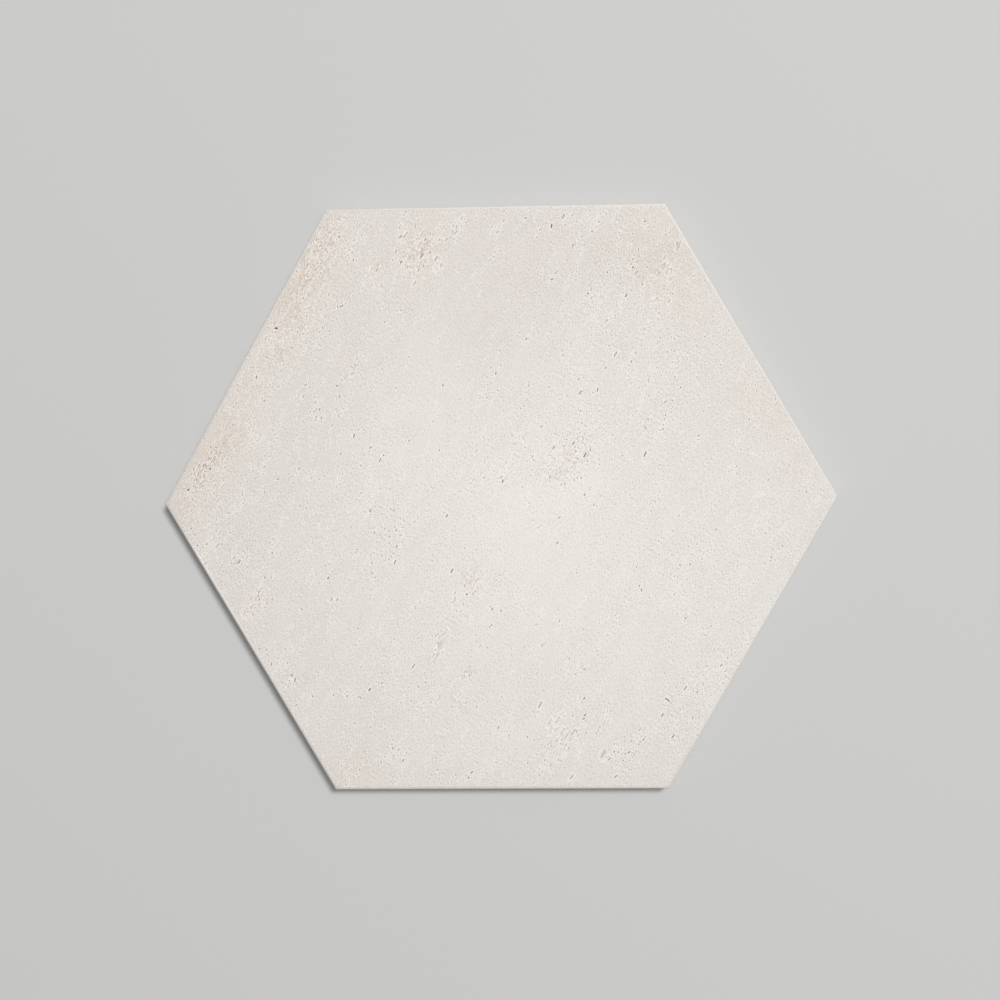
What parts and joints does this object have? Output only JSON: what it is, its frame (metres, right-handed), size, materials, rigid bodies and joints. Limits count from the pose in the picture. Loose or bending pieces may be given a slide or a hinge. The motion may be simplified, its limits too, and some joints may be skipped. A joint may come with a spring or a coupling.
{
  "type": "hexagon porcelain tile",
  "caption": "Flat hexagonal porcelain tile with a matt limestone-look face, sharp bevelled edges and a honeycomb keying relief on the back.",
  "frame": {"origin": "middle of the back, on the level surface that the tile lies on", "axes": "+Z out of the face; +X towards one corner; +Y square to one side. The tile lies face up."},
  "size_m": [0.2308, 0.2, 0.009],
  "materials": {
    "porcelain": "matt, cream limestone look with fine pits and tan clouding"
  },
  "bodies": {
    "root": {"hexagon_tile": "porcelain"}
  },
  "joints": []
}
